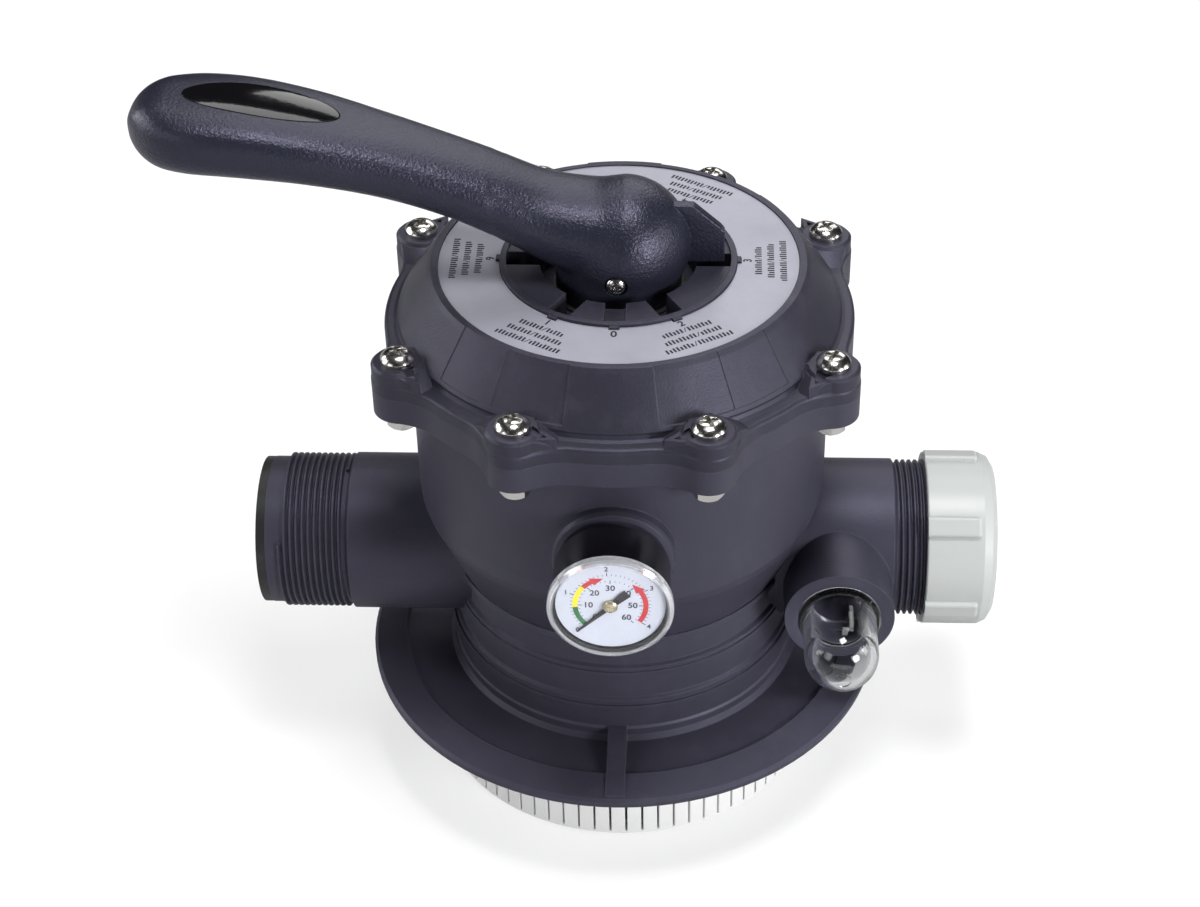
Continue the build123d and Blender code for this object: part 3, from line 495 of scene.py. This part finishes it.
def band(r_in, r_out, start, end):
    """Outline of a ring sector, by angle in degrees."""
    steps = max(2, round(abs(end - start) / 3))
    return arc(r_out, start, end, steps) + arc(r_in, end, start, steps)


def stroke(x0, y0, x1, y1, width):
    """Outline of a straight stroke."""
    along = Vector((x1 - x0, y1 - y0)).normalized()
    side = Vector((-along.y, along.x)) * width / 2
    a, b = Vector((x0, y0)), Vector((x1, y1))
    return [tuple(a - side), tuple(b - side), tuple(b + side), tuple(a + side)]


def digits(shape, text, height, depth, place):
    """Adds raised numerals centred on the place's origin."""
    curve = bpy.data.curves.new("numeral", "FONT")
    curve.body = text
    curve.size = height * 1.4
    curve.align_x = "CENTER"
    curve.align_y = "CENTER"
    curve.extrude = depth
    curve.offset = height * 0.03
    curve.resolution_u = 4
    holder = bpy.data.objects.new("numeral", curve)
    bpy.context.scene.collection.objects.link(holder)
    bpy.context.view_layer.update()
    data = bpy.data.meshes.new_from_object(holder.evaluated_get(bpy.context.evaluated_depsgraph_get()))
    data.transform(place)
    shape.from_mesh(data)
    bpy.data.objects.remove(holder)
    bpy.data.curves.remove(curve)
    bpy.data.meshes.remove(data)


def as_object(name, shape):
    """A loose object in millimetres, used only while a piece is being made."""
    bmesh.ops.recalc_face_normals(shape, faces=shape.faces)
    data = bpy.data.meshes.new(name)
    shape.to_mesh(data)
    shape.free()
    holder = bpy.data.objects.new(name, data)
    bpy.context.scene.collection.objects.link(holder)
    return holder


def baked(holder):
    """A bmesh of the object with its modifiers applied; the object is removed."""
    bpy.context.view_layer.update()
    data = bpy.data.meshes.new_from_object(holder.evaluated_get(bpy.context.evaluated_depsgraph_get()))
    shape = bmesh.new()
    shape.from_mesh(data)
    bpy.data.meshes.remove(data)
    bpy.data.meshes.remove(holder.data)
    return shape


# ---- handle --------------------------------------------------------------------------------
GRIP_END = -168.0
# x, underside z, top z, half width
GRIP = (
    (-174.0, 218.6, 242.4, 22.4),
    (-152.0, 217.8, 242.3, 22.8),
    (-129.0, 216.4, 240.7, 23.2),
    (-104.0, 213.0, 235.6, 21.8),
    (-80.0, 206.8, 228.7, 19.1),
    (-58.0, 198.5, 221.2, 18.0),
    (-40.0, 189.0, 214.6, 18.0),
    (-24.0, 179.2, 208.2, 18.6),
    (-8.0, 172.0, 205.6, 20.0),
    (6.0, 170.0, 204.0, 20.0),
)
GRIP_ROUNDING, FLATTER_TOP, FLATTER_UNDER = 2.3, 0.9, 0.35
SIDE_RUN, TALL_RUN = 28.0, 15.0
HUB_X, HUB_Z, HUB_R = 2.0, 183.5, 23.8
SKIRT_R = 22.5
# the heel stands just clear of the washer and slopes up behind HEEL_X, where the handle tips back
HEEL_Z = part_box("thrust_washer")[1].z / MM + 0.03
HEEL_X, HEEL_RUN, HEEL_RISE = -18.0, 14.0, 4.2
POCKET_LONG, POCKET_WIDE, POCKET_TOP = 33.6, 26.5, 191.0
SCREW_SEAT_R, SCREW_SEAT_Y = 4.1, 21.4
BLOCK_TOP = 176.0
SKIN_VOXEL = 0.85
NECK_PASSES = 46


def along_grip(x):
    """Underside, top and half width of the grip at x, smoothly between its stations."""
    for i in range(1, len(GRIP) - 2):
        if x <= GRIP[i + 1][0] or i == len(GRIP) - 3:
            break
    before, a, b, after = GRIP[i - 1], GRIP[i], GRIP[i + 1], GRIP[i + 2]
    span = b[0] - a[0]
    t = (x - a[0]) / span
    values = []
    for k in (1, 2, 3):
        slope_a = (b[k] - before[k]) / (b[0] - before[0]) * span
        slope_b = (after[k] - a[k]) / (after[0] - a[0]) * span
        h = (2 * t**3 - 3 * t**2 + 1, t**3 - 2 * t**2 + t, -2 * t**3 + 3 * t**2, t**3 - t**2)
        values.append(h[0] * a[k] + h[1] * slope_a + h[2] * b[k] + h[3] * slope_b)
    return values


def end_round(x, run):
    """Factor that rounds the grip off towards its end, over a run."""
    inward = GRIP_END + run - x
    return 1.0 if inward <= 0 else max(1 - (inward / run) ** 2, 0.0) ** 0.5


def flatness(x):
    """How far the grip's outline has turned from round at the hub to flat at the end, 0 to 1."""
    return min(max((-x - 30) / 90, 0), 1)


def grip_section(x, turn):
    """Point of the grip's outline at x for a turn in radians about the grip."""
    low, high, half = along_grip(x)
    mid = (low + high) / 2
    power = GRIP_ROUNDING + (FLATTER_TOP if math.sin(turn) > 0 else FLATTER_UNDER) * flatness(x)
    half *= end_round(x, SIDE_RUN)
    tall = (high - low) / 2 * end_round(x, TALL_RUN)
    c, s = math.cos(turn), math.sin(turn)
    y = half * math.copysign(abs(c) ** (2 / power), c)
    z = mid + tall * math.copysign(abs(s) ** (2 / power), s)
    return Vector((x, y, z))


def grip_top(x, y):
    """Height of the grip's top surface."""
    low, high, half = along_grip(x)
    power = GRIP_ROUNDING + FLATTER_TOP * flatness(x)
    rise = (1 - min(abs(y) / half, 1) ** power) ** (1 / power)
    return (low + high) / 2 + (high - low) / 2 * rise


BADGE_X, BADGE_LONG, BADGE_WIDE = -121.5, 53.0, 20.4


def badge_layer(shape, grow, lift, sink, crown=0.0):
    """Adds an oval slab that follows the grip's top: from sink below it to lift above it."""
    rings, count = 14, 96
    sheets = []
    for raise_by, dome in ((-sink, 0.0), (lift, crown)):
        sheet = []
        for k in range(rings + 1):
            s = k / rings
            if k == 0:
                sheet.append([shape.verts.new((BADGE_X, 0, grip_top(BADGE_X, 0) + raise_by + dome))])
                continue
            ring = []
            for i in range(count):
                a = 2 * math.pi * i / count
                x = BADGE_X + (BADGE_LONG / 2 + grow) * s * math.cos(a)
                y = (BADGE_WIDE / 2 + grow) * s * math.sin(a)
                ring.append(shape.verts.new((x, y, grip_top(x, y) + raise_by + dome * (1 - s**2.6))))
            sheet.append(ring)
        sheets.append(sheet)
    for sheet in sheets:
        for a, b in zip(sheet, sheet[1:]):
            for i in range(count):
                j = (i + 1) % count
                corners = [a[i % len(a)], b[i], b[j], a[j % len(a)]]
                shape.faces.new(list(dict.fromkeys(corners)))
    low, high = sheets[0][-1], sheets[1][-1]
    for i in range(count):
        j = (i + 1) % count
        shape.faces.new((low[i], low[j], high[j], high[i]))


def handle_blank():
    """Grip, hub ball and skirt melted into one smooth skin."""
    shape = bmesh.new()
    rings, around = 110, 56
    loops = []
    for i in range(rings):
        x = GRIP_END + 0.02 + (4.0 - GRIP_END) * (i / (rings - 1)) ** 1.25
        loops.append([shape.verts.new(grip_section(x, 2 * math.pi * k / around)) for k in range(around)])
    for a, b in zip(loops, loops[1:]):
        for k in range(around):
            m = (k + 1) % around
            shape.faces.new((a[k], a[m], b[m], b[k]))
    shape.faces.new(loops[0])
    shape.faces.new(list(reversed(loops[-1])))
    ball = Matrix.Translation((HUB_X, 0, HUB_Z)) @ Matrix.Diagonal((HUB_R, HUB_R, HUB_R, 1))
    bmesh.ops.create_uvsphere(shape, u_segments=64, v_segments=40, radius=1.0, matrix=ball)
    foot = HEEL_Z - 3
    lathe(shape, [(0, foot), (SKIRT_R - 1, foot), (SKIRT_R, HEEL_Z + 1), (SKIRT_R, HUB_Z), (0, HUB_Z)])
    holder = as_object("handle_blank", shape)
    remesh = holder.modifiers.new("skin", "REMESH")
    remesh.mode = "VOXEL"
    remesh.voxel_size = SKIN_VOXEL
    blank = baked(holder)
    soften(blank)
    return blank


def soften(shape):
    """Smooths the skin everywhere a little and the neck between grip and ball a lot."""
    every_axis = {"use_axis_x": True, "use_axis_y": True, "use_axis_z": True}
    bmesh.ops.smooth_vert(shape, verts=shape.verts, factor=0.5, **every_axis)
    neck = [v for v in shape.verts if -44 < v.co.x < 2 and v.co.z > 180 - 0.3 * v.co.x]
    for _ in range(NECK_PASSES):
        bmesh.ops.smooth_vert(shape, verts=neck, factor=0.5, **every_axis)


def handle_cutter():
    """What is cut off: all below the heel and its sloping back, the shaft pocket, screw and badge seats."""
    shape = bmesh.new()
    slope_x, slope_z = HEEL_X - HEEL_RUN, HEEL_Z + HEEL_RISE
    below = [(45, HEEL_Z), (HEEL_X, HEEL_Z), (slope_x, slope_z), (slope_x, HEEL_Z - 40), (45, HEEL_Z - 40)]
    prism(shape, below, -45, 45, Matrix.Rotation(math.radians(90), 4, "X"))
    floor_z = HEEL_Z - 1
    middle = Matrix.Translation((0, 0, (floor_z + POCKET_TOP) / 2))
    pocket = middle @ Matrix.Diagonal((POCKET_LONG, POCKET_WIDE, POCKET_TOP - floor_z, 1))
    bmesh.ops.create_cube(shape, size=1.0, matrix=pocket)
    seat = [(0, SCREW_SEAT_Y), (SCREW_SEAT_R, SCREW_SEAT_Y), (SCREW_SEAT_R, 34), (0, 34)]
    to_front = Matrix.Translation((0, 0, PIVOT_Z)) @ Matrix.Rotation(math.radians(90), 4, "X")
    lathe(shape, seat, to_front, 48)
    badge_layer(shape, 0.35, 4.0, 1.1)
    return as_object("handle_cutter", shape)


def fin_solid():
    """Index fin on the hub, opposite the grip."""
    shape = bmesh.new()
    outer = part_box("handle")[1].x / MM
    low = BLOCK_TOP + 0.4
    outline = [(8, low), (outer, low), (outer, 188.6), (outer - 1.2, 190.2), (26.6, 199.2), (8, 199.8)]
    stand = Matrix.Rotation(math.radians(90), 4, "X")
    prism(shape, outline, -2, 2, stand)
    holder = as_object("fin", shape)
    soften_edges = holder.modifiers.new("round", "BEVEL")
    soften_edges.width = 0.5
    soften_edges.segments = 3
    return as_object("fin_round", baked(holder))


def boolean(target, tool, operation):
    modifier = target.modifiers.new(operation, "BOOLEAN")
    modifier.operation = operation
    modifier.solver = "EXACT"
    modifier.object = tool


def build_handle():
    blank = as_object("handle_solid", handle_blank())
    fin = fin_solid()
    cutter = handle_cutter()
    boolean(blank, fin, "UNION")
    boolean(blank, cutter, "DIFFERENCE")
    shape = baked(blank)
    for tool in (fin, cutter):
        bpy.data.meshes.remove(tool.data)
    piece = new_piece("handle_moulding", "lever", "handle", shape, crease=42)
    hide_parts("handle")

    badge = bmesh.new()
    badge_layer(badge, 0.0, 0.05, 1.05, crown=0.55)
    plate = new_piece("handle_badge_oval", "lever", "badge", badge, crease=50)
    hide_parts("handle_badge")


build_handle()


# ---- label print ---------------------------------------------------------------------------
INK = 0.04
POSITIONS = 6
NUMBER_R, ZERO_R = 45.9, 46.4
LINE_RADII = (49.6, 54.0, 58.4)
# each printed line is two groups of short bars either side of a slanted stroke: bars in each group,
# for the inner, middle and outer line
BAR_GROUPS = (((7, 5), (6, 7)), ((7, 8), (9, 6)), ((9, 9), (8, 10)))
BAR_W, BAR_GAP, BAR_H = 0.74, 0.62, 2.4
SLANT_GAP, SLANT_W = 2.2, 0.32


def facing_out(angle, radius):
    """Place on the label at an angle, with numerals read from outside the ring."""
    turn = Matrix.Rotation(math.radians(angle), 4, "Z")
    return turn @ Matrix.Translation((radius, 0, LABEL_TOP)) @ Matrix.Rotation(math.radians(90), 4, "Z")


def bar_line(shape, groups, place):
    """Adds one row of upright bars, in two groups parted by a slanted stroke."""
    pitch = BAR_W + BAR_GAP
    start = -(sum(groups) * pitch - 2 * BAR_GAP + SLANT_GAP) / 2
    for group, count in enumerate(groups):
        for i in range(count):
            x = start + i * pitch
            top = BAR_H / 2 if (i + count) % 3 else BAR_H / 2 - 0.5
            outline = [(x, -BAR_H / 2), (x + BAR_W, -BAR_H / 2), (x + BAR_W, top), (x, top)]
            prism(shape, outline, 0, INK, place)
        start += count * pitch - BAR_GAP + SLANT_GAP
        if group == 0:
            middle = start - SLANT_GAP / 2
            prism(shape, stroke(middle - 0.5, -BAR_H / 2, middle + 0.5, BAR_H / 2, SLANT_W), 0, INK, place)


def build_label_print():
    shape = bmesh.new()
    for position in range(POSITIONS):
        angle = -120 + 360 / POSITIONS * position
        digits(shape, str(position + 1), 3.0, INK, facing_out(angle, NUMBER_R))
        for radius, choices in zip(LINE_RADII, BAR_GROUPS):
            bar_line(shape, choices[position % 2], facing_out(angle, radius))
    digits(shape, "0", 3.4, INK, facing_out(-90, ZERO_R))
    new_piece("label_print", "housing", "print", shape)


build_label_print()


# ---- gauge dial print ----------------------------------------------------------------------
ZERO, SWEEP = 225.0, 270.0
PSI_MAX = 60
BAR_MAX, PSI_AT_BAR_MAX = 4, 58
BAND_IN, BAND_OUT = 11.2, 13.0
PSI_TICK_OUT, PSI_LONG_IN, PSI_SHORT_IN = 11.1, 9.7, 10.4
BAR_TICK_IN, BAR_LONG_OUT, BAR_SHORT_OUT = 13.1, 14.7, 13.9
LONG_W, SHORT_W = 0.30, 0.18
PSI_DIGITS_R, BAR_DIGITS_R = 7.6, 16.1
TO_DIAL = Matrix.Translation((0, DIAL_FACE, DIAL_Z)) @ Matrix.Rotation(math.radians(90), 4, "X")


def at_psi(value):
    """Dial angle of a reading."""
    return ZERO - SWEEP * value / PSI_MAX


def at_bar(value):
    """Dial angle of a reading on the outer scale."""
    return ZERO - SWEEP * PSI_AT_BAR_MAX / PSI_MAX * value / BAR_MAX


def on_dial(angle, radius):
    x = radius * math.cos(math.radians(angle))
    y = radius * math.sin(math.radians(angle))
    return TO_DIAL @ Matrix.Translation((x, y, 0))


def dial_band(shape, start, end):
    """Adds a coloured band between two readings."""
    prism(shape, band(BAND_IN, BAND_OUT, at_psi(start), at_psi(end)), 0, INK, TO_DIAL)


def tick(shape, angle, r_in, r_out, width):
    """Adds one graduation line."""
    a = math.radians(angle)
    ends = (r_in * math.cos(a), r_in * math.sin(a), r_out * math.cos(a), r_out * math.sin(a))
    prism(shape, stroke(*ends, width), 0, INK, TO_DIAL)


def arrow_head(shape, psi_base, psi_tip):
    """Pointed end of a coloured band."""
    base, tip = math.radians(at_psi(psi_base)), math.radians(at_psi(psi_tip))
    mid = (BAND_IN + BAND_OUT) / 2
    outline = [
        ((BAND_OUT + 1.0) * math.cos(base), (BAND_OUT + 1.0) * math.sin(base)),
        ((BAND_IN - 0.8) * math.cos(base), (BAND_IN - 0.8) * math.sin(base)),
        (mid * math.cos(tip), mid * math.sin(tip)),
    ]
    prism(shape, outline, 0, INK * 1.2, TO_DIAL)


def build_dial_print():
    greens = bmesh.new()
    dial_band(greens, 0, 9)
    new_piece("dial_band_green", "housing", "green", greens)
    yellows = bmesh.new()
    dial_band(yellows, 9, 19)
    new_piece("dial_band_yellow", "housing", "yellow", yellows)
    reds = bmesh.new()
    dial_band(reds, 19, 23)
    arrow_head(reds, 23, 27.5)
    dial_band(reds, 43, PSI_AT_BAR_MAX)
    arrow_head(reds, 43, 38.5)
    new_piece("dial_band_red", "housing", "red", reds)

    shape = bmesh.new()
    for psi in range(0, PSI_MAX + 1, 2):
        inner, width = (PSI_LONG_IN, LONG_W) if psi % 10 == 0 else (PSI_SHORT_IN, SHORT_W)
        tick(shape, at_psi(psi), inner, PSI_TICK_OUT, width)
    for tenth in range(10 * BAR_MAX + 1):
        outer, width = (BAR_LONG_OUT, LONG_W) if tenth % 10 == 0 else (BAR_SHORT_OUT, SHORT_W)
        tick(shape, at_bar(tenth / 10), BAR_TICK_IN, outer, width)
    for psi in range(0, PSI_MAX + 1, 10):
        digits(shape, str(psi), 2.4, INK, on_dial(at_psi(psi), PSI_DIGITS_R))
    for bar in range(BAR_MAX + 1):
        digits(shape, str(bar), 2.0, INK, on_dial(at_bar(bar), BAR_DIGITS_R))
    new_piece("dial_scales", "housing", "dial_print", shape)

    hub = bmesh.new()
    face = -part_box("gauge_pointer")[1].y / MM
    edge = [(0, 0.2), (2.5, 0.2), (2.5, 0.9), (2.1, 1.4), (1.3, 1.7), (0, 1.8)]
    to_front = Matrix.Translation((0, -face, DIAL_Z)) @ Matrix.Rotation(math.radians(90), 4, "X")
    lathe(hub, edge, to_front, 48)
    new_piece("pointer_hub_cap", "gauge_needle", "brass", hub)


build_dial_print()


# ---- floor, light and camera, in metres ----------------------------------------------------
FLOOR_REACH = 4.0
OBJECT_MIDDLE = (0, 0, 0.11)
CAMERA_PITCH, CAMERA_YAW, CAMERA_ROLL = 37.798, 3.126, -1.234
CAMERA_PLACE = (0.0310, -0.7151, 0.6439)
CAMERA_LENS = 72


def build_floor():
    shape = bmesh.new()
    corners = ((-1, -1), (1, -1), (1, 1), (-1, 1))
    shape.faces.new([shape.verts.new((x * FLOOR_REACH, y * FLOOR_REACH, cad_low.z)) for x, y in corners])
    data = bpy.data.meshes.new("floor")
    shape.to_mesh(data)
    shape.free()
    data.materials.append(studio_floor())
    floor = bpy.data.objects.new("floor", data)
    bpy.context.scene.collection.objects.link(floor)


def softbox(name, place, size, power, target=OBJECT_MIDDLE):
    """Rectangular soft light that faces the object."""
    light = bpy.data.lights.new(name, "AREA")
    light.shape = "RECTANGLE"
    light.size, light.size_y = size
    light.energy = power
    holder = bpy.data.objects.new(name, light)
    holder.location = place
    aim = Vector(target) - Vector(place)
    holder.rotation_mode = "QUATERNION"
    holder.rotation_quaternion = aim.to_track_quat("-Z", "Y")
    bpy.context.scene.collection.objects.link(holder)


def build_world():
    """Backdrop: white where it is seen, dim where it only lights and is reflected."""
    world = bpy.data.worlds.new("studio")
    world.use_nodes = True
    tree = world.node_tree
    background = tree.nodes["Background"]
    background.inputs["Color"].default_value = (0.98, 0.99, 1.0, 1.0)
    strength = tree.nodes.new("ShaderNodeMapRange")
    strength.inputs["To Min"].default_value = 0.015
    strength.inputs["To Max"].default_value = 1.0
    tree.links.new(tree.nodes.new("ShaderNodeLightPath").outputs["Is Camera Ray"], strength.inputs["Value"])
    tree.links.new(strength.outputs["Result"], background.inputs["Strength"])
    bpy.context.scene.world = world


def build_light():
    softbox("overhead_box", (0.12, -0.16, 1.35), (0.36, 0.36), 10.3)
    softbox("overhead_back_box", (0.0, 0.65, 1.10), (0.9, 0.4), 4.2)
    softbox("back_box", (0.30, 1.20, 0.75), (0.9, 0.4), 3.0)
    softbox("low_front_box", (0.0, -0.90, 0.06), (1.0, 0.12), 0.8, (0, 0, -0.03))
    softbox("left_back_box", (-1.10, 0.45, 0.55), (0.34, 0.5), 4.0)
    softbox("left_box", (-1.20, -0.10, 0.50), (0.4, 0.8), 4.2)
    softbox("left_front_box", (-0.90, -0.85, 0.55), (0.5, 0.5), 2.0)
    softbox("right_box", (1.20, -0.15, 0.42), (0.3, 0.4), 3.0)
    softbox("right_front_box", (0.90, -0.85, 0.45), (0.38, 0.38), 12.0)
    build_world()
    bpy.context.scene.view_settings.view_transform = "Standard"


def build_camera():
    """Camera at the front of the valve, 38 degrees above the horizon."""
    pitch, yaw, roll = (math.radians(a) for a in (CAMERA_PITCH, CAMERA_YAW, CAMERA_ROLL))
    right = Vector((math.cos(yaw), math.sin(yaw), 0))
    ahead = Vector((-math.sin(yaw), math.cos(yaw), 0)) * math.cos(pitch) - Vector((0, 0, math.sin(pitch)))
    up = right.cross(ahead)
    side = right * math.cos(roll) + up * math.sin(roll)
    top = -right * math.sin(roll) + up * math.cos(roll)
    data = bpy.data.cameras.new("camera")
    data.lens = CAMERA_LENS
    data.sensor_width = 36
    data.clip_start = 0.05
    camera = bpy.data.objects.new("camera", data)
    place = Matrix((side, top, -ahead)).transposed().to_4x4()
    place.translation = CAMERA_PLACE
    camera.matrix_world = place
    bpy.context.scene.collection.objects.link(camera)
    bpy.context.scene.camera = camera


build_floor()
build_light()
build_camera()
